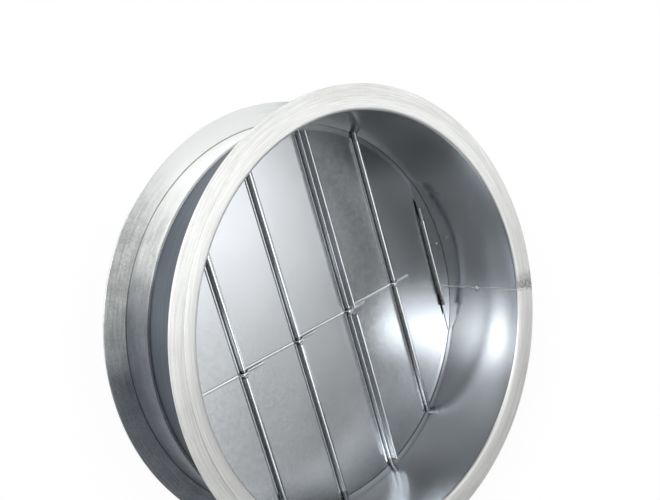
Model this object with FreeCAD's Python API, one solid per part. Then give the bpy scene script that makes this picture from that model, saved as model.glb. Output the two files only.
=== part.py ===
"""Round multi-blade backdraft damper in galvanised sheet steel.

The duct axis is +Z. The damper stands on its rear flange, the origin is the
centre of that end, and the air comes in there and leaves through the front
mouth above. The hinge rods run along Y, side by side along X. Each blade
hangs on the rod at its -X edge, rests closed on the seat and swings up.
"""

import FreeCAD, Part
import math
import os

from FreeCAD import Vector

os.makedirs("parts", exist_ok=True)

# Casing and flange rings, in millimetres and degrees
bore_radius = 250.0            # inside of the casing, for a 500 mm duct
overall_length = 160.0         # rear face to front face
casing_wall = 1.2
lip_width = 15.2               # casing edge turned out over each flange ring
lip_bend = 4.5                 # inside radius of that turned edge
bend_steps = 2                 # flats along the inside of the bend
flange_width = 30.0            # flange ring, out from the casing
ring_thickness = 3.0
front_leg = 30.0               # ring's leg along the casing, front
rear_leg = 55.0                # the same, rear
seam_angle = -12.8             # casing seam and ring joint, seen from the front
seam_bead_width = 1.8
seam_bead_height = 0.4
seam_bead_start = 2.0          # begins this far above the closed blades
ring_weld_width = 2.6
ring_weld_height = 0.7
ring_weld_gap = 0.6            # the weld stops this short of the lip and of the ring's edge

# Seat that the closed blades rest on
seat_top = 30.0                # height above the rear face
seat_thickness = 1.5
seat_leg = 13.0
seat_overlap = 6.0             # how far a blade lies over the edge of its window
seat_gap = 0.3                 # play between a closed blade and the seat

# Hinge rods and blades
rod_radius = 3.0
rod_pitch = 89.5
first_rod_x = -219.5
blade_count = 5
rod_hole_sides = 6             # flats round a rod's hole in the casing
rod_end_inset = 0.2            # a rod's ends stay this far inside the casing's outer face
rod_fit = 0.05                 # radial play of a knuckle on its rod
sheet = 1.0                    # thickness of the blades
blade_end_radius = 242.0       # closed blades end on this circle
knuckle_end_radius = 238.5     # knuckles stop a little short of it
opening_angle = 50.0           # blade 1 then meets the casing wall
swing_radius = 248.3           # opened blades stay inside this circle
edge_gap = 0.4                 # free edge to the next knuckle
hem_width = 2.4                # free edge folded over, on all blades but the last
hem_rise = 1.6                 # the open fold's height above the sheet
hem_bevel = 0.4
knuckle_wrap = 305.0           # degrees of sheet rolled round the rod
rib_blade = 4                  # the blade with the standing seam
rib_offset = 1.2               # seam's middle to the rod's axis
rib_web = 1.8                  # two layers of folded sheet
rib_root = 0.1                 # the seam starts this far outside the knuckle's inner face
rib_height = 15.2              # sheet to the middle of the seam's rolled top
rib_bead_radius = 1.9

# Link strips
strip_width = 3.6
strip_thickness = 1.4
strip_reach = 31.0             # how far a strip's finger passes the next rod
strip_first_y = -21.0
strip_step_y = 4.1
strip_lift = 0.35              # air under the finger and over the rod
strip_start_gap = 1.2          # from a knuckle to the strip's root
strip_flat_margin = 1.0        # the strip leaves its blade this far before the hem
strip_joggle_corner = 0.5      # how far the upper side's bends lie from the lower side's
notch_width = 11.0             # gap in a knuckle where strips cross
notch_margin = 1.0             # notch beyond the knuckle on both sides
notch_floor = 0.02             # the notch ends this far above the sheet

# Fixed end segment with its wire and rivet
wire_x = 220.5
wire_half_length = 75.0
segment_knuckle_half = 56.0
segment_radius = 249.4
rivet_x = 239.5
rivet_y = 14.3
rivet_head_radius = 2.6
rivet_head_height = 1.5
rivet_shank_radius = 1.3

# Worked out from the above
outer_radius = bore_radius + casing_wall
leg_radius = outer_radius + ring_thickness
flange_radius = outer_radius + flange_width
lip_radius = bore_radius + lip_width
bend_radius = bore_radius + lip_bend
knuckle_inner = rod_radius + rod_fit
knuckle_outer = knuckle_inner + sheet
blade_bottom = seat_top + seat_gap
blade_top = blade_bottom + sheet
hinge_height = blade_bottom + knuckle_outer
wire_height = seat_top + knuckle_outer
rod_x = [first_rod_x + rod_pitch * k for k in range(blade_count)]
next_x = rod_x[1:] + [wire_x]
UP = Vector(0, 0, 1)
ALONG = Vector(0, 1, 0)


def export(shape, name):
    """Write one sub-part, after a test that it is a closed and valid shape."""
    if not shape.isValid():
        raise ValueError(name + " is not valid")
    shape.exportStep("parts/" + name + ".step")


def plate(x0, x1, y0, y1, z0, z1):
    """A block from its lowest to its highest corner."""
    return Part.makeBox(x1 - x0, y1 - y0, z1 - z0, Vector(x0, y0, z0))


def disc(radius, z0, z1):
    """A round slab about the duct axis."""
    return Part.makeCylinder(radius, z1 - z0, Vector(0, 0, z0), UP)


def bar(x, height, radius, half_length):
    """A round bar along Y."""
    return Part.makeCylinder(radius, 2 * half_length, Vector(x, -half_length, height), ALONG)


def chord(radius, x):
    """Half the width of a circle about the origin, at x."""
    return math.sqrt(radius * radius - x * x)


def turned(section):
    """Turn a closed section, given as (r, z) points, about the duct axis."""
    points = [Vector(r, 0, z) for r, z in section]
    face = Part.Face(Part.makePolygon(points + points[:1]))
    return face.revolve(Vector(0, 0, 0), UP, 360)


def bend_points():
    """Points of the turned lip's inside bend at the rear end, from wall to lip."""
    points = []
    for step in range(bend_steps + 1):
        angle = math.pi / 2 * step / bend_steps
        points.append((bend_radius - lip_bend * math.cos(angle),
                       lip_bend - lip_bend * math.sin(angle)))
    return points


# Casing: rolled sheet with both edges turned out

def rod_hole(x):
    """A prism along Y whose flats touch the rod at x."""
    corner = rod_radius / math.cos(math.pi / rod_hole_sides)
    points = []
    for side in range(rod_hole_sides + 1):
        angle = 2 * math.pi * side / rod_hole_sides
        points.append(Vector(x + corner * math.cos(angle), -outer_radius,
                             hinge_height + corner * math.sin(angle)))
    return Part.Face(Part.makePolygon(points)).extrude(Vector(0, 2 * outer_radius, 0))


def make_casing():
    """Tube with turned lips, a welded seam and holes for the hinge rods."""
    inside = bend_points()
    lip = [(lip_radius, 0), (lip_radius, casing_wall)]
    outside = [(bend_radius, casing_wall), (outer_radius, lip_bend)]
    lower = inside + lip + outside
    upper = [(r, overall_length - z) for r, z in reversed(lower)]
    shell = turned(lower + upper)
    bead_low = blade_top + seam_bead_start
    bead_high = overall_length - lip_bend
    bead = plate(bore_radius - seam_bead_height, bore_radius + casing_wall / 2,
                 -seam_bead_width / 2, seam_bead_width / 2, bead_low, bead_high)
    bead.rotate(Vector(0, 0, 0), UP, seam_angle)
    shell = shell.fuse(bead)
    for x in rod_x:
        shell = shell.cut(rod_hole(x))
    return shell


# Flange rings: rolled angle, one leg on the casing and one turned out

def make_ring(leg):
    """Angle ring as it lies at the rear end, its face up against the lip."""
    face = casing_wall
    back = face + ring_thickness
    return turned([
        (outer_radius, lip_bend),
        (bend_radius, face),
        (flange_radius, face),
        (flange_radius, back),
        (leg_radius, back),
        (leg_radius, face + leg),
        (outer_radius, face + leg),
    ])


def make_front_ring():
    """The front ring, turned over, with the weld where its ends meet."""
    ring = make_ring(front_leg)
    face = casing_wall
    weld = plate(lip_radius + ring_weld_gap, flange_radius - ring_weld_gap, -ring_weld_width / 2,
                 ring_weld_width / 2, face - ring_weld_height, face + ring_thickness / 2)
    weld.rotate(Vector(0, 0, 0), UP, -seam_angle)
    ring = ring.fuse(weld)
    ring.rotate(Vector(0, 0, overall_length / 2), Vector(1, 0, 0), 180)
    return ring


# Outlines of the blades and of the windows under them

def closed_outline(k, inset, z0, z1):
    """Slab inside the end circle, and inside the circle that blade k swings through."""
    flat = disc(blade_end_radius - inset, z0, z1)
    shrink = math.cos(math.radians(opening_angle))
    middle = rod_x[k] - rod_x[k] / shrink
    swing = Part.Ellipse(Vector(middle, 0, z0), (swing_radius - inset) / shrink,
                         swing_radius - inset)
    swung = Part.Face(Part.Wire([swing.toShape()])).extrude(Vector(0, 0, z1 - z0))
    return flat.common(swung)


def rivet_hole():
    """The hole through end segment and seat for their rivet."""
    return Part.makeCylinder(rivet_shank_radius, seat_leg,
                             Vector(rivet_x, rivet_y, seat_top - seat_leg / 2), UP)


def make_seat():
    """Seat plate with one window for all the blades, on a short collar."""
    under = seat_top - seat_thickness
    body = disc(bore_radius, under, seat_top)
    for k in range(blade_count):
        window = closed_outline(k, seat_overlap, under, seat_top)
        start = rod_x[k] + (seat_overlap if k == 0 else 0)
        end = next_x[k] + (seat_overlap if k == blade_count - 1 else 0)
        across = plate(start, end, -bore_radius, bore_radius, under, seat_top)
        body = body.cut(window.common(across))
    collar = disc(bore_radius, seat_top - seat_leg, under)
    collar = collar.cut(disc(bore_radius - seat_thickness, seat_top - seat_leg, under))
    return body.fuse(collar).cut(rivet_hole()).removeSplitter()


# Blades

def knuckle(x, height, half_length):
    """Sheet rolled round a rod, from under it round its -X side."""
    start = -90.0
    end = start - knuckle_wrap
    middle = (start + end) / 2

    def point(radius, angle):
        turn = math.radians(angle)
        return Vector(x + radius * math.cos(turn), -half_length,
                      height + radius * math.sin(turn))

    outside = Part.Arc(point(knuckle_outer, start), point(knuckle_outer, middle),
                       point(knuckle_outer, end)).toShape()
    inside = Part.Arc(point(knuckle_inner, end), point(knuckle_inner, middle),
                      point(knuckle_inner, start)).toShape()
    tip = Part.LineSegment(point(knuckle_outer, end), point(knuckle_inner, end)).toShape()
    root = Part.LineSegment(point(knuckle_inner, start), point(knuckle_outer, start)).toShape()
    section = Part.Face(Part.Wire([outside, tip, inside, root]))
    return section.extrude(Vector(0, 2 * half_length, 0))


def strip_y(k):
    """Where strip k lies along the rods."""
    return strip_first_y + strip_step_y * k


def notch(k):
    """Block that clears the crossing of strip k - 1 over rod k."""
    x = rod_x[k]
    y = strip_y(k - 1)
    reach = knuckle_outer + notch_margin
    return plate(x - reach, x + reach, y - notch_width / 2, y + notch_width / 2,
                 blade_top + notch_floor, blade_top + 2 * rib_height)


def make_blade(k):
    """One blade: sheet, hemmed but on the last one, rolled knuckle, and one seam standing on it."""
    start = rod_x[k]
    end = next_x[k] - knuckle_outer - edge_gap
    fold = end - hem_width
    crown = blade_top + hem_rise
    hem = [(end, crown - hem_bevel), (end - hem_bevel, crown), (fold + hem_bevel, crown),
           (fold, crown - hem_bevel), (fold, blade_top)]
    if k == blade_count - 1:
        hem = [(end, blade_top)]
    section = [(start, blade_bottom), (end, blade_bottom)] + hem + [(start, blade_top)]
    points = [Vector(x, -bore_radius, z) for x, z in section]
    flat = Part.Face(Part.makePolygon(points + points[:1]))
    flat = flat.extrude(Vector(0, 2 * bore_radius, 0))
    blade = flat.common(closed_outline(k, 0, blade_bottom, crown))
    half = chord(knuckle_end_radius, abs(start - knuckle_outer))
    blade = blade.fuse(knuckle(start, hinge_height, half))
    if k + 1 == rib_blade:
        x = start + rib_offset
        root = hinge_height + knuckle_inner + rib_root
        middle = blade_top + rib_height
        web = plate(x - rib_web / 2, x + rib_web / 2, -half, half, root, middle)
        blade = blade.fuse(web.fuse(bar(x, middle, rib_bead_radius, half)))
    if k > 0:
        blade = blade.cut(notch(k))
    return blade.removeSplitter()


def make_strip(k):
    """Flat strip on blade k, joggled over the next rod, with a finger on the next blade."""
    t = strip_thickness
    base = blade_top
    raised = hinge_height + rod_radius + strip_lift
    finger = base + strip_lift
    start = rod_x[k] + knuckle_outer + strip_start_gap
    over = rod_x[k + 1]
    fall_start = over + rod_radius
    flat_end = over - knuckle_outer - edge_gap - hem_width - strip_flat_margin
    rise_end = over - rod_radius
    fall_end = fall_start + knuckle_outer
    tip = over + strip_reach
    underside = [(start, base), (flat_end, base), (rise_end, raised), (fall_start, raised),
                 (fall_end, finger), (tip, finger)]
    corner = strip_joggle_corner
    upside = [(tip, finger + t), (fall_end + corner, finger + t), (fall_start + corner, raised + t),
              (rise_end - corner, raised + t), (flat_end - corner, base + t), (start, base + t)]
    points = [Vector(x, strip_y(k) - strip_width / 2, z) for x, z in underside + upside]
    face = Part.Face(Part.makePolygon(points + points[:1]))
    return face.extrude(Vector(0, strip_width, 0))


def make_rod(x):
    """Plain rod through the casing from side to side, just inside its outer face."""
    rod_end = outer_radius - rod_end_inset
    rod = bar(x, hinge_height, rod_radius, chord(rod_end, abs(x) - rod_radius))
    return rod.common(disc(rod_end, 0, overall_length))


def make_end_segment():
    """Fixed plate between the last blade and the wall, its edge rolled round a wire."""
    top = seat_top + sheet
    flat = disc(segment_radius, seat_top, top)
    flat = flat.common(plate(wire_x, bore_radius, -bore_radius, bore_radius, seat_top, top))
    segment = flat.fuse(knuckle(wire_x, wire_height, segment_knuckle_half))
    return segment.cut(rivet_hole()).removeSplitter()


def make_segment_rivet():
    """Domed rivet that holds the end segment to the seat."""
    top = seat_top + sheet
    under = seat_top - seat_thickness
    shank = rivet_shank_radius
    head = rivet_head_radius
    crown = top + rivet_head_height
    rivet = turned([
        (0, under), (shank, under), (shank, top), (head, top),
        (head - rivet_head_height / 2, crown), (0, crown),
    ])
    rivet.translate(Vector(rivet_x, rivet_y, 0))
    return rivet


export(make_casing(), "casing")
export(make_front_ring(), "front_flange_ring")
export(make_ring(rear_leg), "rear_flange_ring")
export(make_seat(), "seat_plate")
export(make_end_segment(), "end_segment")
export(bar(wire_x, wire_height, rod_radius, wire_half_length), "end_segment_wire")
export(make_segment_rivet(), "end_segment_rivet")
for number in range(blade_count):
    export(make_rod(rod_x[number]), "hinge_rod_%d" % (number + 1))
    export(make_blade(number), "blade_%d" % (number + 1))
for number in range(blade_count - 1):
    export(make_strip(number), "link_strip_%d" % (number + 1))
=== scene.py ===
"""Dresses a round multi-blade backdraft damper and sets it in a plain studio."""

import math

import bmesh
import bpy
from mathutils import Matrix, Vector, noise as turbulence


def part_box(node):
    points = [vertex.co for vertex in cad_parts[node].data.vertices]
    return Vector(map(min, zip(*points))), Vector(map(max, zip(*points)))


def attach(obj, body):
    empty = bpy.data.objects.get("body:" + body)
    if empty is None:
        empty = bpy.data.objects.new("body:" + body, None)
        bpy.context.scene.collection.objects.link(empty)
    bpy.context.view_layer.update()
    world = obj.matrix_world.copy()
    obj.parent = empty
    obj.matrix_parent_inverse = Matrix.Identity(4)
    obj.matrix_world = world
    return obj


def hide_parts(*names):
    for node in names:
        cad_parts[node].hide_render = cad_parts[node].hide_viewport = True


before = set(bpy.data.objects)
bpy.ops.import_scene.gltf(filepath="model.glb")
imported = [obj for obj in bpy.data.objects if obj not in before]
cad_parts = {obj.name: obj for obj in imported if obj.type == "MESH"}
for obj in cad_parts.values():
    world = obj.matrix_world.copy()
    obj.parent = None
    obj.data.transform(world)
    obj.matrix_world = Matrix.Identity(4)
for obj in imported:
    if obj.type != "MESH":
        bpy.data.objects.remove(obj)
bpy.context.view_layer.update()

bl_info = {
    "name": "Backdraft damper",
    "version": (1, 0, 0),
    "blender": (4, 5, 0),
    "location": "View3D > Sidebar > Damper",
    "description": "Dresses a round damper of galvanised sheet and sets it in a plain studio",
    "category": "Object",
}

# Sizes that come from the frame, in metres
casing_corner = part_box("casing")[1]
rear_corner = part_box("rear_flange_ring")[1]
LENGTH = casing_corner.z
LIP_RADIUS = casing_corner.x
RING_RADIUS = rear_corner.x
REAR_LEG_END = rear_corner.z
FRONT_LEG_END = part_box("front_flange_ring")[0].z
SEAT_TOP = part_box("seat_plate")[1].z
FIXED_BODY = "duct_section"
BLADES = sorted(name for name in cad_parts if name.startswith("blade_"))
RODS = sorted(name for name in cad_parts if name.startswith("hinge_rod_"))
STRIPS = sorted(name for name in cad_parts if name.startswith("link_strip_"))
ROD_X = [(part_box(name)[0].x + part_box(name)[1].x) / 2 for name in RODS]
SEAM_BLADE = "blade_4"

# Where the welds begin and end, in metres
SEAM_START = 0.0015       # above the seat
SEAM_END = 0.002          # inside the lip's edge
JOINT_START = 0.0004      # inside the lip's edge
JOINT_END = 0.0012        # inside the ring's edge
JOINT_SUNK = 0.6          # share of the bead's radius below the ring's face
END_WELD_RADIUS = 0.0021
END_WELD_HEIGHT = 0.0015
END_WELD_IN = 0.0026      # towards the axis from where the lip's bend ends
END_WELD_UP = 0.0028      # above where the lip's bend begins

# How finely the drawn shapes are cut, and which edges stay sharp
BEND_STEPS = 6
BAR_BEND_STEPS = 5
BAR_CORNER_STEPS = 4
BEAD_SIDES = 24
SPOT_SUBDIVISIONS = 4
TURNED_SHARP = math.radians(35)
BAR_SHARP = math.radians(40)
BEAD_SHARP = math.radians(80)

# The floor turns from shaded to plain white between these distances inside the rear ring's edge
SHADED_FLOOR = 0.025
WHITE_FLOOR = 0.005

# Soft round lights of the room: azimuth, angle from the zenith, radius of the even part and
# of the whole light, all in degrees, and strength
LIGHTS = (
    (0, 25, 6, 24, 0.2),
    (45, 25, 6, 24, 1.4),
    (-45, 25, 6, 24, 0.6),
    (-8, 28, 2, 9, 2.6),
    (-22, 34, 2, 8, 0.8),
    (90, 45, 6, 24, 0.5),
    (-120, 45, 6, 24, 0.25),
    (-120, 65, 6, 24, 0.4),
    (-75, 55, 6, 24, 0.08),
    (-10, 67, 5, 21, 2.6),
    (145, 51, 3, 14, 3.0),
    (160, 46, 3, 14, 2.5),
    (154, 62, 4, 18, 1.2),
    (148, 62, 4, 15, 4.0),
    (116, 60, 5, 20, 0.5),
    (-160, 42, 6, 22, 0.4),
    (-70, 14, 7, 17, 4.4),
    (168, 68, 6, 20, 2.4),
    (135, 82, 10, 36, 3.7),
)


# Sizes and colours that a user may change

class DamperSizes(bpy.types.PropertyGroup):
    """Sizes of the sheet metal."""

    bore: bpy.props.FloatProperty(
        name="Bore radius", description="Inside of the casing",
        default=0.25, unit="LENGTH")
    wall: bpy.props.FloatProperty(
        name="Casing wall", description="Thickness of the casing's sheet",
        default=0.0012, unit="LENGTH")
    lip_bend: bpy.props.FloatProperty(
        name="Lip bend", description="Inside radius of the casing's turned edges",
        default=0.0045, unit="LENGTH")
    ring_thickness: bpy.props.FloatProperty(
        name="Ring thickness", description="Thickness of the flange rings' legs",
        default=0.003, unit="LENGTH")
    ring_root: bpy.props.FloatProperty(
        name="Ring root", description="Fillet between a flange ring's legs",
        default=0.0010, unit="LENGTH")
    ring_edge: bpy.props.FloatProperty(
        name="Ring edge", description="Rounding of a flange ring's outer edges",
        default=0.0006, unit="LENGTH")
    seam_angle: bpy.props.FloatProperty(
        name="Seam angle", description="Where the casing's seam and the ring's joint lie",
        default=math.radians(-12.8), subtype="ANGLE")
    seam_bead: bpy.props.FloatProperty(
        name="Seam bead", description="Radius of the bead in the casing's seam",
        default=0.001, unit="LENGTH")
    ring_bead: bpy.props.FloatProperty(
        name="Ring bead", description="Radius of the bead where the front ring's ends meet",
        default=0.0016, unit="LENGTH")
    bead_depth: bpy.props.FloatProperty(
        name="Bead depth", description="How far the seam's bead lies below the turned lip's face",
        default=0.0013, unit="LENGTH")
    tack_height: bpy.props.FloatProperty(
        name="Tack height", description="Height of the tack weld on the seam",
        default=0.0855, unit="LENGTH")
    tack_radius: bpy.props.FloatProperty(
        name="Tack radius", description="Radius of the tack weld", default=0.0028, unit="LENGTH")
    strip_thickness: bpy.props.FloatProperty(
        name="Strip thickness", description="Thickness of the link strips",
        default=0.0014, unit="LENGTH")
    strip_lift: bpy.props.FloatProperty(
        name="Strip lift", description="Air between a strip's finger and the next blade",
        default=0.00035, unit="LENGTH")
    strip_corner: bpy.props.FloatProperty(
        name="Strip corner", description="Rounding along a link strip's edges",
        default=0.0005, unit="LENGTH")
    knuckle: bpy.props.FloatProperty(
        name="Knuckle radius", description="Outside of the sheet rolled round a rod",
        default=0.00405, unit="LENGTH")
    rod: bpy.props.FloatProperty(
        name="Rod radius", description="Radius of the hinge rods", default=0.003, unit="LENGTH")
    hem: bpy.props.FloatProperty(
        name="Hem and gap", description="Folded free edge of a blade and the gap beyond it",
        default=0.0038, unit="LENGTH")
    seam_roll: bpy.props.FloatProperty(
        name="Seam roll", description="Radius of the standing seam's rolled top",
        default=0.0019, unit="LENGTH")
    seam_shift: bpy.props.FloatProperty(
        name="Seam shift", description="Standing seam's middle to the rod's axis",
        default=0.0012, unit="LENGTH")
    seam_half: bpy.props.FloatProperty(
        name="Seam half length", description="Half the length of the standing seam",
        default=0.2342, unit="LENGTH")
    notch: bpy.props.FloatProperty(
        name="Notch width", description="Gap in knuckle and seam where a link strip crosses",
        default=0.011, unit="LENGTH")
    blade_bow: bpy.props.FloatProperty(
        name="Blade bow", description="Slope that the last two blades' reflections show",
        default=0.055)
    segments: bpy.props.IntProperty(
        name="Segments", description="Straight pieces round a turned part", default=360)


class DamperColours(bpy.types.PropertyGroup):
    """Colours of the zinc finishes."""

    bright: bpy.props.FloatVectorProperty(
        name="Bright sheet", description="Smooth galvanised sheet of blades and casing",
        default=(0.655, 0.680, 0.705), subtype="COLOR")
    strip: bpy.props.FloatVectorProperty(
        name="Link strips", description="Bright strip",
        default=(0.74, 0.76, 0.77), subtype="COLOR")
    lip: bpy.props.FloatVectorProperty(
        name="Turned lips", description="Brushed zinc of the casing's turned edges",
        default=(0.96, 0.97, 0.955), subtype="COLOR")
    flange: bpy.props.FloatVectorProperty(
        name="Flange face", description="Brushed, pale zinc of the front flange ring",
        default=(0.96, 0.97, 0.945), subtype="COLOR")
    # The rear ring's colour on its lit side; the colour of its other side is painted shade.
    ring: bpy.props.FloatVectorProperty(
        name="Rear ring", description="Mottled zinc of the rear flange ring, on its bright side",
        default=(0.94, 0.955, 0.945), subtype="COLOR")
    # Painted shade: the rear ring's colour on its side away from the light.
    shaded_ring: bpy.props.FloatVectorProperty(
        name="Rear ring, dull side", description="The same zinc where it has gone dull",
        default=(0.22, 0.24, 0.27), subtype="COLOR")
    # Blue-grey zinc, kept dark as painted shade between the flange rings.
    outside: bpy.props.FloatVectorProperty(
        name="Casing outside", description="Dull blue-grey zinc between the flange rings",
        default=(0.20, 0.235, 0.28), subtype="COLOR")
    rod: bpy.props.FloatVectorProperty(
        name="Rods", description="Zinc-plated rod, darker than the sheet",
        default=(0.36, 0.37, 0.39), subtype="COLOR")
    burnt: bpy.props.FloatVectorProperty(
        name="Burnt zinc", description="Stain beside the flange ring's weld",
        default=(0.09, 0.088, 0.085), subtype="COLOR")
    rivet: bpy.props.FloatVectorProperty(
        name="Rivet", description="Tarnish round the rivet's head",
        default=(0.24, 0.15, 0.08), subtype="COLOR")


class DamperStudio(bpy.types.PropertyGroup):
    """Camera, floor and light."""

    camera_place: bpy.props.FloatVectorProperty(
        name="Camera place", description="Where the camera stands",
        default=(-0.58776, 0.30815, 0.88109), subtype="XYZ", unit="LENGTH")
    camera_turn: bpy.props.FloatVectorProperty(
        name="Camera turn", description="The camera's rotation about X, Y and Z",
        default=tuple(math.radians(v) for v in (-0.12565, -38.59937, -20.02728)), subtype="EULER")
    lens: bpy.props.FloatProperty(
        name="Lens", description="Focal length on a 36 mm wide sensor, in millimetres",
        default=44.953)
    fill: bpy.props.FloatProperty(
        name="Fill light", description="Strength of the soft light from the window side",
        default=1.3)
    fill_from: bpy.props.FloatVectorProperty(
        name="Fill direction", description="Where the soft light comes from",
        default=(-0.45, 0.50, 0.74), subtype="DIRECTION")
    fill_width: bpy.props.FloatProperty(
        name="Fill width", description="How wide the soft light is, which blurs its shadows",
        default=math.radians(40), subtype="ANGLE")
    room_light: bpy.props.FloatProperty(
        name="Room light", description="Even light between the soft round lights",
        default=0.02)
    floor_radius: bpy.props.FloatProperty(
        name="Floor radius", description="Size of the round floor", default=30.0, unit="LENGTH")
    floor_colour: bpy.props.FloatVectorProperty(
        name="Floor colour", description="Colour of the floor", default=(0.93, 0.93, 0.93),
        subtype="COLOR")
    floor_glow: bpy.props.FloatProperty(
        name="Floor whiteness", description="How far the floor shows as plain white",
        default=0.88, subtype="FACTOR")


# Shader and geometry trees

class Socket:
    """An output of a node tree, with arithmetic that adds Math nodes."""

    def __init__(self, tree, source):
        self.tree = tree
        self.source = source

    def math(self, operation, *others):
        values = dict(enumerate((self,) + others))
        return add(self.tree, "ShaderNodeMath", {"operation": operation}, values)

    def __add__(self, other):
        return self.math("ADD", other)

    def __sub__(self, other):
        return self.math("SUBTRACT", other)

    def __rsub__(self, other):
        return add(self.tree, "ShaderNodeMath", {"operation": "SUBTRACT"}, {0: other, 1: self})

    def __mul__(self, other):
        return self.math("MULTIPLY", other)

    def __truediv__(self, other):
        return self.math("DIVIDE", other)

    def __rtruediv__(self, other):
        return add(self.tree, "ShaderNodeMath", {"operation": "DIVIDE"}, {0: other, 1: self})

    def __pow__(self, other):
        return self.math("POWER", other)

    __radd__ = __add__
    __rmul__ = __mul__


def add(tree, kind, settings=None, sockets=None, output=0):
    """Add a node to a tree, with its settings first and then its sockets; give one output."""
    node = tree.nodes.new(kind)
    for key, value in (settings or {}).items():
        setattr(node, key, value)
    for key, value in (sockets or {}).items():
        if isinstance(value, Socket):
            tree.links.new(value.source, node.inputs[key])
        else:
            node.inputs[key].default_value = value
    return Socket(tree, node.outputs[output]) if node.outputs else None


def mix_colour(factor, first, second):
    """Mix two colours, each a socket or a plain colour."""
    shades = [v if isinstance(v, Socket) else (*v, 1.0) for v in (first, second)]
    return add(factor.tree, "ShaderNodeMix", {"data_type": "RGBA", "blend_type": "MIX"},
               {0: factor, 6: shades[0], 7: shades[1]}, 2)


def between(value, low, high):
    """Rise smoothly from 0 to 1 as a value goes from low to high."""
    return add(value.tree, "ShaderNodeMapRange", {"interpolation_type": "SMOOTHSTEP"},
               {"Value": value, "From Min": low, "From Max": high})


def place(tree):
    """Object coordinates, as one vector and as x, y and z."""
    vector = add(tree, "ShaderNodeTexCoord", output="Object")
    values = [add(tree, "ShaderNodeSeparateXYZ", None, {0: vector}, axis) for axis in range(3)]
    return vector, *values


def polar(tree):
    """Object coordinates, x, y, z and the distance from the duct axis."""
    vector, x, y, z = place(tree)
    return vector, x, y, z, (x * x + y * y) ** 0.5


def noise(vector, scale, detail=2.0, rough=0.5):
    """Noise from 0 to 1."""
    return add(vector.tree, "ShaderNodeTexNoise", None,
               {"Vector": vector, "Scale": scale, "Detail": detail, "Roughness": rough})


def vector_of(tree, x, y, z):
    """Join three values to a vector."""
    return add(tree, "ShaderNodeCombineXYZ", None, {0: x, 1: y, 2: z})


def stretch(vector, factors):
    """Scale a vector along its axes."""
    return add(vector.tree, "ShaderNodeMapping", {"vector_type": "POINT"},
               {"Vector": vector, "Scale": factors})


def spangle(vector, size):
    """Zinc crystals: a shade from 0 to 1 for each cell."""
    tree = vector.tree
    drift = add(tree, "ShaderNodeTexNoise", None,
                {"Vector": vector, "Scale": 1.3 / size, "Detail": 2.0}, "Color")
    push = add(tree, "ShaderNodeVectorMath", {"operation": "SCALE"},
               {0: drift, "Scale": size * 0.7})
    warped = add(tree, "ShaderNodeVectorMath", {"operation": "ADD"}, {0: vector, 1: push})
    cell = add(tree, "ShaderNodeTexVoronoi", None,
               {"Vector": warped, "Scale": 1.0 / size}, "Color")
    return add(tree, "ShaderNodeSeparateColor", None, {0: cell})


def round_grain(tree, around, across):
    """Noise drawn out along circles about the duct axis."""
    vector, x, y, z, radius = polar(tree)
    drawn = vector_of(tree, x / radius * around, y / radius * around, (radius + z) * across)
    return noise(drawn, 1.0, 3.0, 0.6)


def metal(name, colour, roughness, metallic=1.0, bump=None, depth=0.0, strength=0.0):
    """A material of one metal, from a function for each of its varying values."""
    material = bpy.data.materials.new(name)
    material.use_nodes = True
    tree = material.node_tree
    tree.nodes.clear()
    sockets = {"Base Color": colour(tree), "Roughness": roughness(tree),
               "Metallic": metallic(tree) if callable(metallic) else metallic}
    if bump:
        sockets["Normal"] = add(tree, "ShaderNodeBump", None, {
            "Strength": strength, "Distance": depth, "Height": bump(tree)})
    surface = add(tree, "ShaderNodeBsdfPrincipled", None, sockets)
    add(tree, "ShaderNodeOutputMaterial", None, {0: surface})
    return material


# Finishes

CRYSTAL = 0.004           # size of the zinc's crystals, in metres
STAIN_BEFORE = 0.004      # the flange weld's stain reaches this far on its two sides
STAIN_AFTER = 0.030
BEAD_HALF = 0.0022        # half the width of the flange weld's mottled bead


def tinted(level, tint):
    """A colour darkened by a level from 0 to 1."""
    return mix_colour(level, (0.0, 0.0, 0.0), tuple(tint))


def towards(x, y, radius, azimuth):
    """How far a point lies towards an azimuth in degrees, from -1 to 1."""
    turn = math.radians(azimuth)
    return (x * math.cos(turn) + y * math.sin(turn)) / radius


def painted_side_shade(x, y, radius):
    """Painted shade on the flange face and the lips: a level that is lower on their lower side
    and lowest at the lower left.
    """
    upper = between(y / radius, -0.1, 0.9)
    left = between(towards(x, y, radius, 215), 0.3, 1.0)
    return (0.76 + 0.24 * upper) * (1.0 - 0.20 * left)


def sheet_metal(name, tint, shade=1.0, bow=0.0):
    """Smooth bright zinc with faint clouds and crystals; a shade below 1 darkens the whole sheet;
    a bowed sheet slopes down towards +X.
    """
    def colour(tree):
        vector = place(tree)[0]
        clouds = between(noise(vector, 9.0, 3.0), 0.3, 0.7)
        grain = noise(vector, 1500.0, 1.0)
        fine = 0.94 + 0.03 * spangle(vector, CRYSTAL) + 0.03 * grain
        return tinted((0.93 + 0.07 * clouds) * fine * shade, tint)

    def roughness(tree):
        vector = place(tree)[0]
        return 0.21 + 0.04 * noise(vector, 14.0, 3.0) + 0.03 * spangle(vector, CRYSTAL)

    depth, strength = 0.002, 0.10

    def bump(tree):
        vector, x, y, z = place(tree)
        return noise(vector, 5.0, 1.0) - x * (bow / (depth * strength))

    return metal(name, colour, roughness, 1.0, bump, depth, strength)


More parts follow.
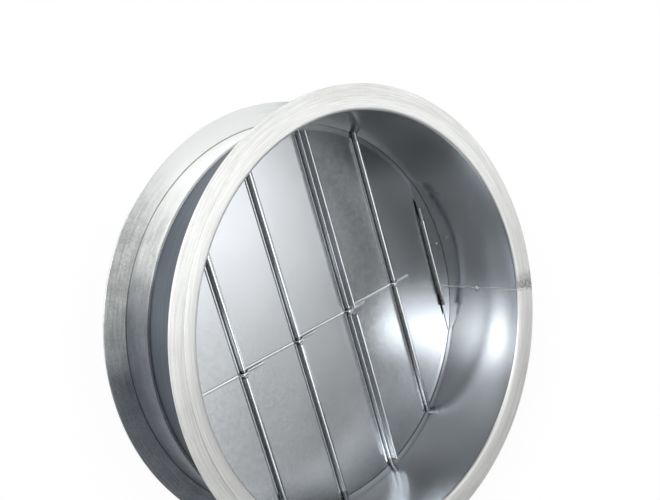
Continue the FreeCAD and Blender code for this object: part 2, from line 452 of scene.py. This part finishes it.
def weld_marks(vector, x, y, angle, colours, under):
    """A colour with the flange weld's mottled bead and the stain beside it laid over it."""
    along = math.cos(angle), math.sin(angle)
    across = y * along[0] - x * along[1]
    ahead = between(x * along[0] + y * along[1], 0.0, 0.1)
    blot = across + 0.012 * (noise(vector, 130.0, 3.0) - 0.5)
    near = between(blot, -STAIN_BEFORE, 0.0) * (1.0 - between(blot, 0.003, STAIN_AFTER)) * ahead
    burnt = near * (0.55 + 0.45 * between(noise(vector, 420.0, 3.0), 0.4, 0.6))
    stained = mix_colour(0.8 * burnt, under, tuple(colours.burnt))
    wander = (across + 0.0016 * (noise(vector, 300.0) - 0.5)).math("ABSOLUTE")
    bead = (1.0 - between(wander, 0.0010, BEAD_HALF)) * ahead
    bright = between(noise(vector, 650.0, 2.0), 0.42, 0.52)
    mottled = mix_colour(bright, (0.06, 0.06, 0.06), (1.0, 1.0, 1.0))
    return mix_colour(0.9 * bead, stained, mottled)


def casing_metal(sizes, colours):
    """Bright inside, dark blue-grey outside where the dark is painted shade, brushed on the lips,
    dented at the tack weld.
    """
    angle = sizes.seam_angle
    tack = (sizes.bore * math.cos(angle), sizes.bore * math.sin(angle), sizes.tack_height)

    def outside(radius):
        return between(radius, sizes.bore + sizes.wall * 0.4, sizes.bore + sizes.wall * 0.6)

    def lip(z):
        half = LENGTH / 2
        ends = (z - half).math("ABSOLUTE")
        return between(ends, half - sizes.lip_bend * 0.8, half - sizes.lip_bend * 0.2)

    def from_tack(vector):
        return add(vector.tree, "ShaderNodeVectorMath", {"operation": "DISTANCE"},
                   {0: vector, 1: tack}, "Value")

    def colour(tree):
        vector, x, y, z, radius = polar(tree)
        clouds = between(noise(vector, 6.0, 3.0), 0.3, 0.7)
        grain = noise(vector, 1500.0, 1.0)
        burnt = between(from_tack(vector), 0.003, 0.0065)
        # Painted shade: the inside wall darkens in the corner just above the seat plate.
        seat_corner_shade = between(z, SEAT_TOP + 0.0004, SEAT_TOP + 0.0022)
        inner = tinted((1.03 + 0.05 * clouds + 0.03 * grain) * (0.45 + 0.55 * burnt)
                       * (0.25 + 0.75 * seat_corner_shade), colours.bright)
        streaks = noise(stretch(vector, (6.0, 6.0, 260.0)), 1.0, 3.0)
        # Painted shade: the outside darkens further towards -Y.
        shaded = 0.35 + 0.65 * between(y / radius, -0.5, 0.5)
        outer = tinted((0.35 + 0.3 * clouds + 0.35 * streaks) * shaded, colours.outside)
        fine = between(round_grain(tree, 6.0, 1500.0), 0.35, 0.65)
        # Painted shade: the lips darken on their lower side and most at the lower left.
        pale = tinted((0.82 + 0.18 * fine) * painted_side_shade(x, y, radius), colours.lip)
        pale = weld_marks(vector, x, y, angle, colours, pale)
        return mix_colour(lip(z), mix_colour(outside(radius), inner, outer), pale)

    def roughness(tree):
        vector, x, y, z, radius = polar(tree)
        wall = 0.20 + 0.04 * noise(vector, 9.0, 2.0) + 0.18 * outside(radius)
        return wall + (0.46 - wall) * lip(z)

    def bump(tree):
        vector, x, y, z, radius = polar(tree)
        away = from_tack(vector)
        ripples = (away * 1400.0).math("SINE") * (1.0 - between(away, 0.003, 0.011))
        pulled = 1.0 - between(away, 0.0, 0.02)
        return (noise(vector, 5.0, 1.0) + 0.06 * ripples - 0.12 * pulled
                + 0.06 * round_grain(tree, 6.0, 1500.0) * lip(z))

    def metallic(tree):
        return 1.0 - 0.45 * lip(place(tree)[3])

    return metal("casing_zinc", colour, roughness, metallic, bump, 0.002, 0.12)


def ring_metal(sizes, colours):
    """Brushed pale zinc, mottled and speckled, with painted shade on the side away from the
    window and at the legs' root, and a painted highlight on the side towards it.
    """
    angle = sizes.seam_angle
    leg = sizes.bore + sizes.wall + sizes.ring_thickness

    def streaks(tree):
        return 0.5 * round_grain(tree, 4.0, 500.0) + 0.5 * round_grain(tree, 9.0, 2600.0)

    def colour(tree):
        vector, x, y, z, radius = polar(tree)
        front = between(z, LENGTH * 0.5, LENGTH * 0.6)
        lines = between(streaks(tree), 0.38, 0.62)
        specks = between(noise(vector, 620.0, 2.0), 0.36, 0.50)
        patches = between(noise(vector, 26.0, 4.0, 0.65), 0.35, 0.65)
        # Painted shade: the front ring's face darkens on its lower side and most at the lower
        # left.
        pale = tinted((0.72 + 0.20 * lines + 0.05 * patches + 0.03 * specks) * painted_side_shade(x, y, radius),
                      colours.flange)
        # Painted shade: the rear ring darkens towards azimuth 220 degrees, and its outer leg
        # more, away from the light.
        toward = towards(x, y, radius, 220)
        leg_only = 1.0 - between(radius, leg + 0.0005, leg + 0.0015)
        shaded_side = between(toward + 0.16 * noise(vector, 9.0) + 0.28 * leg_only, 0.46, 0.88)
        # Painted highlight: the rear ring turns nearly white towards azimuth 102 degrees, on its
        # side towards the light.
        painted_highlight = between(towards(x, y, radius, 102) + 0.10 * (streaks(tree) - 0.5), 0.82, 0.99)
        fine = between(noise(vector, 1100.0, 2.0), 0.38, 0.62)
        speckled = 0.70 + 0.16 * specks + 0.14 * fine
        mottled = (0.74 + 0.26 * patches) * speckled * (0.70 + 0.30 * lines)
        mottled = mottled + (0.97 - mottled) * painted_highlight
        # Painted shade: the rear ring darkens in the corner between its legs.
        back = sizes.wall + sizes.ring_thickness
        root = ((radius - leg) ** 2 + (z - back) ** 2) ** 0.5
        mottled = mottled * (0.35 + 0.65 * between(root, 0.0006, 0.0016))
        rear = mix_colour(shaded_side, tinted(mottled, colours.ring),
                          tinted(mottled, colours.shaded_ring))
        return mix_colour(front, rear, weld_marks(vector, x, y, angle, colours, pale))

    def roughness(tree):
        return 0.36 + 0.16 * streaks(tree)

    def bump(tree):
        return streaks(tree) * 0.14 + 0.15 * noise(place(tree)[0], 60.0, 3.0)

    return metal("flange_zinc", colour, roughness, 0.55, bump, 0.001, 0.25)


def rod_metal(colours):
    """Drawn rod with fine lines along it."""
    def colour(tree):
        vector = place(tree)[0]
        lines = noise(stretch(vector, (1200.0, 12.0, 1200.0)), 1.0, 2.0)
        return tinted(0.75 + 0.25 * lines, colours.rod)

    def roughness(tree):
        return 0.24 + 0.1 * noise(place(tree)[0], 80.0)

    return metal("rod_zinc", colour, roughness)


def weld_metal():
    """Bright, uneven weld metal with dark scale in its hollows."""
    def colour(tree):
        scale = between(noise(place(tree)[0], 600.0, 3.0), 0.36, 0.5)
        return mix_colour(scale, (0.34, 0.32, 0.30), (0.92, 0.92, 0.91))

    def roughness(tree):
        return 0.22 + 0.2 * noise(place(tree)[0], 500.0)

    def bump(tree):
        return noise(place(tree)[0], 700.0, 3.0)

    return metal("weld_metal", colour, roughness, 1.0, bump, 0.0004, 0.5)


def rivet_metal(colours):
    """Tarnished round the edge and bright on top."""
    low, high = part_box("end_segment_rivet")
    middle = (low + high) / 2
    half = (high.x - low.x) / 2

    def colour(tree):
        vector, x, y, z = place(tree)
        radius = ((x - middle.x) ** 2 + (y - middle.y) ** 2) ** 0.5
        edge = between(radius + 0.0006 * noise(vector, 900.0), half * 0.45, half * 0.95)
        return mix_colour(edge, (0.80, 0.74, 0.64), tuple(colours.rivet))

    def roughness(tree):
        return 0.30 + 0.2 * noise(place(tree)[0], 600.0)

    return metal("rivet_tarnish", colour, roughness, 0.7)


# Shapes

def shape_tree(name, sizes):
    """Start a geometry tree that takes a mesh, some named sizes, a sharp angle and a finish."""
    tree = bpy.data.node_groups.new(name, "GeometryNodeTree")
    inputs = [("Geometry", "NodeSocketGeometry"), ("Sharp angle", "NodeSocketFloat"),
              ("Finish", "NodeSocketMaterial")] + sizes
    for label, kind in inputs:
        tree.interface.new_socket(name=label, in_out="INPUT", socket_type=kind)
    tree.interface.new_socket(name="Geometry", in_out="OUTPUT", socket_type="NodeSocketGeometry")
    given = tree.nodes.new("NodeGroupInput")
    return tree, {label: Socket(tree, given.outputs[label]) for label, kind in inputs}


def bent_path(given, steps):
    """The given mesh's edges as one curve, with each corner rounded by its bend attribute."""
    path = add(given.tree, "GeometryNodeMeshToCurve", None, {0: given})
    bend = add(given.tree, "GeometryNodeInputNamedAttribute", {"data_type": "FLOAT"},
               {"Name": "bend"})
    return add(given.tree, "GeometryNodeFilletCurve", {"mode": "POLY"},
               {"Curve": path, "Count": steps, "Radius": bend, "Limit Radius": True})


def end_tree(shell, given):
    """Shade smooth but for the sharp edges, and end the tree."""
    tree = shell.tree
    shell = add(tree, "GeometryNodeSetShadeSmooth", None,
                {"Geometry": shell, "Shade Smooth": True})
    angle = add(tree, "GeometryNodeInputMeshEdgeAngle")
    edge = add(tree, "FunctionNodeCompare", {"data_type": "FLOAT", "operation": "GREATER_THAN"},
               {0: angle, 1: given["Sharp angle"]})
    shell = add(tree, "GeometryNodeStoreNamedAttribute",
                {"data_type": "BOOLEAN", "domain": "EDGE"},
                {"Geometry": shell, "Name": "sharp_edge", "Value": edge})
    shell = add(tree, "GeometryNodeRealizeInstances", None, {0: shell})
    shell = add(tree, "GeometryNodeSetMaterial", None,
                {"Geometry": shell, "Material": given["Finish"]})
    add(tree, "NodeGroupOutput", None, {0: shell})
    return tree


def turned_tree():
    """Geometry tree that turns a closed section of (r, 0, z) points about the duct axis."""
    tree, given = shape_tree("turned_section", [
        ("Segments", "NodeSocketInt"), ("Bend steps", "NodeSocketInt"),
        ("Reference radius", "NodeSocketFloat")])
    reference = given["Reference radius"]
    outline = bent_path(given["Geometry"], given["Bend steps"])
    shift = vector_of(tree, reference * -1.0, 0.0, 0.0)
    outline = add(tree, "GeometryNodeTransform", None,
                  {"Geometry": outline, "Translation": shift})
    outline = add(tree, "GeometryNodeTransform", None,
                  {"Geometry": outline, "Rotation": (math.radians(90), 0.0, 0.0)})
    path = add(tree, "GeometryNodeCurvePrimitiveCircle", {"mode": "RADIUS"},
               {"Resolution": given["Segments"], "Radius": reference})
    shell = add(tree, "GeometryNodeCurveToMesh", None, {"Curve": path, "Profile Curve": outline})
    return end_tree(shell, given)


def bar_tree():
    """Geometry tree that draws a flat bar with rounded edges along a bent path."""
    tree, given = shape_tree("bent_bar", [
        ("Width", "NodeSocketFloat"), ("Thickness", "NodeSocketFloat"),
        ("Corner", "NodeSocketFloat"), ("Corner steps", "NodeSocketInt"),
        ("Bend steps", "NodeSocketInt")])
    path = bent_path(given["Geometry"], given["Bend steps"])
    path = add(tree, "GeometryNodeSetCurveNormal", {"mode": "Z_UP"}, {"Curve": path})
    section = add(tree, "GeometryNodeCurvePrimitiveQuadrilateral", {"mode": "RECTANGLE"},
                  {"Width": given["Width"], "Height": given["Thickness"]})
    section = add(tree, "GeometryNodeFilletCurve", {"mode": "POLY"}, {
        "Curve": section, "Count": given["Corner steps"], "Radius": given["Corner"],
        "Limit Radius": True})
    shell = add(tree, "GeometryNodeCurveToMesh", None,
                {"Curve": path, "Profile Curve": section, "Fill Caps": True})
    return end_tree(shell, given)


def bead_tree():
    """Geometry tree that lays an uneven round weld bead along a bent path."""
    tree, given = shape_tree("weld_bead", [
        ("Radius", "NodeSocketFloat"), ("Step", "NodeSocketFloat"),
        ("Unevenness", "NodeSocketFloat"), ("Seed", "NodeSocketFloat")])
    path = bent_path(given["Geometry"], BEND_STEPS)
    path = add(tree, "GeometryNodeResampleCurve", {"mode": "LENGTH"},
               {"Curve": path, "Length": given["Step"]})
    section = add(tree, "GeometryNodeCurvePrimitiveCircle", {"mode": "RADIUS"},
                  {"Resolution": BEAD_SIDES, "Radius": given["Radius"]})
    shell = add(tree, "GeometryNodeCurveToMesh", None,
                {"Curve": path, "Profile Curve": section, "Fill Caps": True})
    ripple = add(tree, "ShaderNodeTexNoise", {"noise_dimensions": "4D"}, {
        "Vector": add(tree, "GeometryNodeInputPosition"), "W": given["Seed"],
        "Scale": 0.5 / given["Radius"], "Detail": 2.0})
    push = add(tree, "ShaderNodeVectorMath", {"operation": "SCALE"}, {
        0: add(tree, "GeometryNodeInputNormal"), "Scale": (ripple - 0.6) * given["Unevenness"]})
    shell = add(tree, "GeometryNodeSetPosition", None, {"Geometry": shell, "Offset": push})
    return end_tree(shell, given)


def run_tree(piece, tree, values):
    """Run a geometry tree on a mesh object with named inputs, and keep the result as a mesh."""
    modifier = piece.modifiers.new("shape", "NODES")
    modifier.node_group = tree
    for item in tree.interface.items_tree:
        if item.in_out == "INPUT" and item.name in values:
            modifier[item.identifier] = values[item.name]
    shown = piece.evaluated_get(bpy.context.evaluated_depsgraph_get())
    mesh = bpy.data.meshes.new_from_object(shown)
    piece.modifiers.remove(modifier)
    piece.data = mesh
    return piece


def new_piece(name, mesh):
    """Put a mesh in the scene as an object of its own."""
    piece = bpy.data.objects.new(name, mesh)
    bpy.context.scene.collection.objects.link(piece)
    return piece


def facing_out(mesh):
    """Turn a closed mesh's faces to point outwards."""
    shape = bmesh.new()
    shape.from_mesh(mesh)
    if shape.calc_volume(signed=True) < 0:
        bmesh.ops.reverse_faces(shape, faces=shape.faces)
        shape.to_mesh(mesh)
    shape.free()


def outline_piece(name, points, closed):
    """A wire of (x, y, z, bend radius) points."""
    mesh = bpy.data.meshes.new(name)
    count = len(points)
    edges = [(i, (i + 1) % count) for i in range(count if closed else count - 1)]
    mesh.from_pydata([point[:3] for point in points], edges, [])
    bends = mesh.attributes.new("bend", "FLOAT", "POINT")
    bends.data.foreach_set("value", [point[3] for point in points])
    return new_piece(name, mesh)


def turned_piece(name, section, reference, finish, sizes):
    """A ring turned from a closed section of (r, z, bend radius) points."""
    piece = outline_piece(name, [(r, 0.0, z, bend) for r, z, bend in section], True)
    run_tree(piece, turned_tree(), {
        "Segments": sizes.segments, "Bend steps": BEND_STEPS, "Reference radius": reference,
        "Sharp angle": TURNED_SHARP, "Finish": finish})
    facing_out(piece.data)
    return piece


def bead_piece(name, path, radius, unevenness, seed, finish):
    """A weld bead along an open path of (x, y, z, bend radius) points."""
    piece = outline_piece(name, path, False)
    run_tree(piece, bead_tree(), {
        "Radius": radius, "Step": radius * 0.5, "Unevenness": unevenness, "Seed": seed,
        "Sharp angle": BEAD_SHARP, "Finish": finish})
    facing_out(piece.data)
    return piece


def spot_piece(name, middle, outward, radius, height, finish):
    """A low, uneven dome of weld metal."""
    shape = bmesh.new()
    bmesh.ops.create_icosphere(shape, subdivisions=SPOT_SUBDIVISIONS, radius=1.0)
    turn = outward.to_track_quat("Z", "Y").to_matrix()
    for point in shape.verts:
        lump = 1.0 + 0.22 * turbulence.noise(point.co * 1.7 + middle * 900.0)
        flat = Vector((point.co.x * radius, point.co.y * radius, point.co.z * height)) * lump
        point.co = middle + turn @ flat
    for face in shape.faces:
        face.smooth = True
    mesh = bpy.data.meshes.new(name)
    shape.to_mesh(mesh)
    shape.free()
    mesh.materials.append(finish)
    return new_piece(name, mesh)


def keep(piece, slot, body, *nodes):
    """Fix a finished piece to its body, in place of the nodes that it stands for."""
    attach(piece, body)
    if nodes:
        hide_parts(*nodes)


def finish_nodes(names, material):
    """Give CAD nodes a finish."""
    for name in names:
        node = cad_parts[name]
        if not node.material_slots:
            raise RuntimeError(name + " has no material slot")
        for slot in node.material_slots:
            slot.material = material


# Operators

class DAMPER_OT_casing(bpy.types.Operator):
    """Turn the casing with its rounded lips"""

    bl_idname = "damper.casing"
    bl_label = "Casing"

    def execute(self, context):
        sizes = context.scene.damper_sizes
        colours = context.scene.damper_colours
        bore, wall, bend = sizes.bore, sizes.wall, sizes.lip_bend
        outer = bore + wall
        edge = wall * 0.3
        section = [
            (bore, 0.0, bend), (LIP_RADIUS, 0.0, edge), (LIP_RADIUS, wall, edge),
            (outer, wall, bend - wall), (outer, LENGTH - wall, bend - wall),
            (LIP_RADIUS, LENGTH - wall, edge), (LIP_RADIUS, LENGTH, edge), (bore, LENGTH, bend)]
        piece = turned_piece("casing_shell", section, outer, casing_metal(sizes, colours), sizes)
        keep(piece, "casing_sheet", FIXED_BODY, "casing")
        return {"FINISHED"}


class DAMPER_OT_flange_rings(bpy.types.Operator):
    """Turn both flange rings with their rounded roots and edges"""

    bl_idname = "damper.flange_rings"
    bl_label = "Flange rings"

    def execute(self, context):
        sizes = context.scene.damper_sizes
        inner = sizes.bore + sizes.wall
        leg = inner + sizes.ring_thickness
        finish = ring_metal(sizes, context.scene.damper_colours)
        for name, low, high, up in (("front", FRONT_LEG_END, LENGTH - sizes.wall, -1),
                                    ("rear", sizes.wall, REAR_LEG_END, 1)):
            face, tip = (high, low) if up < 0 else (low, high)
            back = face + up * sizes.ring_thickness
            corner = sizes.lip_bend - sizes.wall
            section = [
                (inner, face, corner), (RING_RADIUS, face, sizes.ring_edge),
                (RING_RADIUS, back, sizes.ring_edge), (leg, back, sizes.ring_root),
                (leg, tip, sizes.ring_edge), (inner, tip, 0.0)]
            piece = turned_piece(name + "_ring_turned", section, leg, finish, sizes)
            keep(piece, "flange_steel", FIXED_BODY, name + "_flange_ring")
        return {"FINISHED"}


class DAMPER_OT_welds(bpy.types.Operator):
    """Lay the beads of the casing's seam and of the front ring's joint"""

    bl_idname = "damper.welds"
    bl_label = "Welds"

    def execute(self, context):
        sizes = context.scene.damper_sizes
        finish = weld_metal()
        angle = sizes.seam_angle
        out = Vector((math.cos(angle), math.sin(angle), 0.0))
        up = Vector((0.0, 0.0, 1.0))
        middle = sizes.bore + sizes.wall / 2
        seam = [(middle, SEAT_TOP + SEAM_START, 0.0),
                (middle, LENGTH - sizes.wall / 2, sizes.lip_bend),
                (LIP_RADIUS - SEAM_END, LENGTH - sizes.bead_depth, 0.0)]
        joint_height = LENGTH - sizes.wall - sizes.ring_bead * JOINT_SUNK
        joint = [(LIP_RADIUS - JOINT_START, joint_height, 0.0),
                 (RING_RADIUS - JOINT_END, joint_height, 0.0)]
        for name, path, radius, unevenness, seed in (
                ("casing_seam_bead", seam, sizes.seam_bead, 0.0006, 1.0),
                ("front_ring_weld", joint, sizes.ring_bead, 0.0012, 2.0)):
            points = [(*(out * r + up * z), bend) for r, z, bend in path]
            bead = bead_piece(name, points, radius, unevenness, seed, finish)
            keep(bead, "casing_sheet", FIXED_BODY)
        tack_place = out * sizes.bore + up * sizes.tack_height
        tack = spot_piece("seam_tack", tack_place, -out, sizes.tack_radius,
                          sizes.tack_radius * 0.5, finish)
        keep(tack, "casing_sheet", FIXED_BODY)
        end_place = (out * (sizes.bore + sizes.lip_bend - END_WELD_IN)
                     + up * (LENGTH - sizes.lip_bend + END_WELD_UP))
        end = spot_piece("seam_end_weld", end_place, up, END_WELD_RADIUS, END_WELD_HEIGHT, finish)
        keep(end, "casing_sheet", FIXED_BODY)
        return {"FINISHED"}


class DAMPER_OT_seat(bpy.types.Operator):
    """Finish the seat plate"""

    bl_idname = "damper.seat"
    bl_label = "Seat plate"

    def execute(self, context):
        colours = context.scene.damper_colours
        finish_nodes(["seat_plate"], sheet_metal("seat_zinc", colours.bright, 0.95))
        return {"FINISHED"}


class DAMPER_OT_blades(bpy.types.Operator):
    """Finish the blades"""

    bl_idname = "damper.blades"
    bl_label = "Blades"

    def execute(self, context):
        sizes = context.scene.damper_sizes
        bright = context.scene.damper_colours.bright
        number = BLADES.index(SEAM_BLADE)
        finish = sheet_metal("blade_zinc", bright)
        finish_nodes(BLADES[:number], finish)
        bow = sizes.blade_bow
        # Painted shade: the seam blade is darkened to 0.95 and the blades after it to 0.70,
        # standing in for their dimmer reflections.
        finish_nodes([SEAM_BLADE], sheet_metal("bowed_blade_zinc", bright, 0.95, bow))
        finish_nodes(BLADES[number + 1:], sheet_metal("shaded_blade_zinc", bright, 0.70, bow))
        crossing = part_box(STRIPS[number - 1])
        gap = (crossing[0].y + crossing[1].y) / 2
        x = ROD_X[number] + sizes.seam_shift
        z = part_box(SEAM_BLADE)[1].z - sizes.seam_roll
        for end, low, high in (("low", -sizes.seam_half, gap - sizes.notch / 2),
                               ("high", gap + sizes.notch / 2, sizes.seam_half)):
            path = [(x, low, z, 0.0), (x, high, z, 0.0)]
            roll = bead_piece("standing_seam_roll_" + end, path, sizes.seam_roll, 0.0, 3.0,
                              finish)
            keep(roll, "blade_sheet", "swing_" + SEAM_BLADE)
        return {"FINISHED"}


class DAMPER_OT_rods(bpy.types.Operator):
    """Finish the hinge rods and the end segment's wire"""

    bl_idname = "damper.rods"
    bl_label = "Rods"

    def execute(self, context):
        finish = rod_metal(context.scene.damper_colours)
        finish_nodes(RODS + ["end_segment_wire"], finish)
        return {"FINISHED"}


class DAMPER_OT_strips(bpy.types.Operator):
    """Draw the link strips with rounded edges and bends"""

    bl_idname = "damper.strips"
    bl_label = "Link strips"

    def execute(self, context):
        sizes = context.scene.damper_sizes
        finish = sheet_metal("strip_zinc", context.scene.damper_colours.strip)
        tree = bar_tree()
        for name in STRIPS:
            number = int(name[-1])
            low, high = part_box(name)
            rod = ROD_X[number]
            bend = sizes.strip_thickness
            half = bend / 2
            fall = rod + sizes.rod
            raised = high.z - half
            finger = low.z + half + sizes.strip_lift
            # It lies on its own blade, climbs over the rod and falls to the finger
            points = [
                (low.x, low.z + half, 0.0),
                (rod - sizes.knuckle - sizes.hem, low.z + half, bend),
                (rod - sizes.rod - half * 0.7, raised, bend),
                (fall + half * 0.4, raised, bend),
                (fall + sizes.knuckle + half * 0.5, finger, bend),
                (high.x, finger, 0.0)]
            middle = (low.y + high.y) / 2
            path = [(x, middle, z, r) for x, z, r in points]
            piece = outline_piece(name + "_bent", path, False)
            run_tree(piece, tree, {
                "Width": high.y - low.y, "Thickness": sizes.strip_thickness,
                "Corner": sizes.strip_corner, "Corner steps": BAR_CORNER_STEPS,
                "Bend steps": BAR_BEND_STEPS, "Sharp angle": BAR_SHARP, "Finish": finish})
            facing_out(piece.data)
            keep(piece, "strip_steel", "swing_blade_%d" % number, name)
        return {"FINISHED"}


class DAMPER_OT_end_segment(bpy.types.Operator):
    """Finish the end segment and its rivet"""

    bl_idname = "damper.end_segment"
    bl_label = "End segment"

    def execute(self, context):
        colours = context.scene.damper_colours
        # Painted shade: the end segment is darkened to 0.68, like the last blade.
        finish_nodes(["end_segment"], sheet_metal("shaded_segment_zinc", colours.bright, 0.68))
        finish_nodes(["end_segment_rivet"], rivet_metal(colours))
        return {"FINISHED"}


class DAMPER_OT_studio(bpy.types.Operator):
    """Set the floor, the light and the camera"""

    bl_idname = "damper.studio"
    bl_label = "Studio"

    def execute(self, context):
        scene = context.scene
        studio = scene.damper_studio
        self.floor(studio)
        self.sky(scene, studio)
        self.fill(scene, studio)
        camera = bpy.data.cameras.new("camera")
        camera.lens = studio.lens
        camera.sensor_width = 36.0
        camera.clip_start = 0.01
        camera.clip_end = 200.0
        stand = bpy.data.objects.new("camera", camera)
        stand.location = studio.camera_place
        stand.rotation_euler = studio.camera_turn
        scene.collection.objects.link(stand)
        scene.camera = stand
        scene.view_settings.view_transform = "Standard"
        return {"FINISHED"}

    def floor(self, studio):
        """A round floor that the camera and reflections see as plain white round the duct."""
        shape = bmesh.new()
        bmesh.ops.create_circle(shape, cap_ends=True, segments=96, radius=studio.floor_radius)
        mesh = bpy.data.meshes.new("floor")
        shape.to_mesh(mesh)
        shape.free()
        material = bpy.data.materials.new("floor_white")
        material.use_nodes = True
        tree = material.node_tree
        tree.nodes.clear()
        seen = add(tree, "ShaderNodeLightPath", output="Is Camera Ray")
        for ray in ("Is Glossy Ray", "Is Transmission Ray"):
            seen = seen.math("MAXIMUM", add(tree, "ShaderNodeLightPath", output=ray))
        paint = add(tree, "ShaderNodeBsdfDiffuse", None, {"Color": (*studio.floor_colour, 1.0)})
        white = add(tree, "ShaderNodeEmission", None, {"Strength": 1.0})
        open_floor = between(polar(tree)[4], RING_RADIUS - SHADED_FLOOR,
                             RING_RADIUS - WHITE_FLOOR)
        surface = add(tree, "ShaderNodeMixShader", None,
                      {0: seen * open_floor * studio.floor_glow, 1: paint, 2: white})
        add(tree, "ShaderNodeOutputMaterial", None, {0: surface})
        mesh.materials.append(material)
        new_piece("floor", mesh)

    def sky(self, scene, studio):
        """Ceiling panels overhead, and windows low down on two sides of a dim room."""
        world = bpy.data.worlds.new("studio")
        world.use_nodes = True
        tree = world.node_tree
        tree.nodes.clear()
        direction = add(tree, "ShaderNodeTexCoord", output="Generated")
        level = studio.room_light
        for *angles, power in LIGHTS:
            azimuth, from_zenith, inner, outer = map(math.radians, angles)
            across = math.sin(from_zenith)
            aim = (across * math.cos(azimuth), across * math.sin(azimuth), math.cos(from_zenith))
            aimed = add(tree, "ShaderNodeVectorMath", {"operation": "DOT_PRODUCT"},
                        {0: direction, 1: aim}, "Value")
            level = level + power * between(aimed, math.cos(outer), math.cos(inner))
        background = add(tree, "ShaderNodeBackground", None, {"Strength": level})
        add(tree, "ShaderNodeOutputWorld", None, {0: background})
        scene.world = world

    def fill(self, scene, studio):
        """Soft light from the window side that shows in no reflection."""
        lamp = bpy.data.lights.new("fill", "SUN")
        lamp.energy = studio.fill
        lamp.angle = studio.fill_width
        stand = bpy.data.objects.new("fill", lamp)
        stand.rotation_euler = Vector(studio.fill_from).to_track_quat("Z", "Y").to_euler()
        stand.visible_glossy = False
        scene.collection.objects.link(stand)


class DAMPER_PT_steps(bpy.types.Panel):
    """Lists the damper's operators"""

    bl_idname = "DAMPER_PT_steps"
    bl_label = "Damper"
    bl_space_type = "VIEW_3D"
    bl_region_type = "UI"
    bl_category = "Damper"

    def draw(self, context):
        for step in STEPS:
            self.layout.operator(step.bl_idname)


STEPS = (DAMPER_OT_studio, DAMPER_OT_casing, DAMPER_OT_flange_rings, DAMPER_OT_welds,
         DAMPER_OT_seat, DAMPER_OT_blades, DAMPER_OT_rods, DAMPER_OT_strips,
         DAMPER_OT_end_segment)
GROUPS = {"damper_sizes": DamperSizes, "damper_colours": DamperColours,
          "damper_studio": DamperStudio}


def register():
    for group in GROUPS.values():
        bpy.utils.register_class(group)
    for name, group in GROUPS.items():
        setattr(bpy.types.Scene, name, bpy.props.PointerProperty(type=group))
    for step in STEPS + (DAMPER_PT_steps,):
        bpy.utils.register_class(step)


def unregister():
    for step in reversed(STEPS + (DAMPER_PT_steps,)):
        bpy.utils.unregister_class(step)
    for name in GROUPS:
        delattr(bpy.types.Scene, name)
    for group in reversed(GROUPS.values()):
        bpy.utils.unregister_class(group)


def main():
    """Run every step."""
    register()
    for step in STEPS:
        area, name = step.bl_idname.split(".")
        getattr(getattr(bpy.ops, area), name)()


if __name__ == "__main__":
    main()
